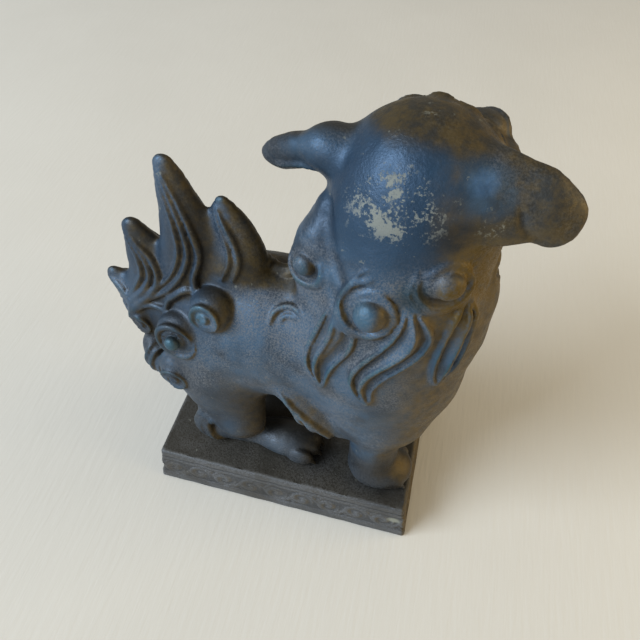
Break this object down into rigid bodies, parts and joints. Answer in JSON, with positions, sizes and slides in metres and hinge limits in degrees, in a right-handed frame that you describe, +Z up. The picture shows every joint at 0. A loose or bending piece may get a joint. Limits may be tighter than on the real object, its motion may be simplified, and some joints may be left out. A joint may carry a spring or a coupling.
{
  "type": "foo dog statue",
  "caption": "Standing guardian lion figure with its head turned to one side, drooping ears, curled mane and flame tail, on a rectangular plinth.",
  "frame": {"origin": "centre of the underside, on the felt's lower face", "axes": "+Z up, +X towards the lion's chest, +Y the way the turned head faces"},
  "size_m": [0.1468, 0.0754, 0.1827],
  "materials": {
    "bronze_blue": "blue-grey patinated cast bronze, satin, dusty in the hollows",
    "bronze_brown": "brown patinated cast bronze, matte",
    "brass_pin": "plain turned brass",
    "steel": "plain steel",
    "felt": "dark green felt"
  },
  "bodies": {
    "root": {"body": "bronze_blue", "ear_left": "bronze_blue", "ear_right": "bronze_blue", "felt_sheet": "felt", "front_leg_left": "bronze_brown", "front_leg_right": "bronze_brown", "head": "bronze_blue", "hind_leg_left": "bronze_brown", "hind_leg_right": "bronze_brown", "neck_dowel_front": "brass_pin", "neck_dowel_rear": "brass_pin", "nut_front_left": "steel", "nut_front_right": "steel", "nut_hind_left": "steel", "nut_hind_right": "steel", "plinth": "bronze_brown", "stud_front_left": "steel", "stud_front_right": "steel", "stud_hind_left": "steel", "stud_hind_right": "steel", "tail": "bronze_blue", "washer_front_left": "steel", "washer_front_right": "steel", "washer_hind_left": "steel", "washer_hind_right": "steel"}
  },
  "joints": []
}
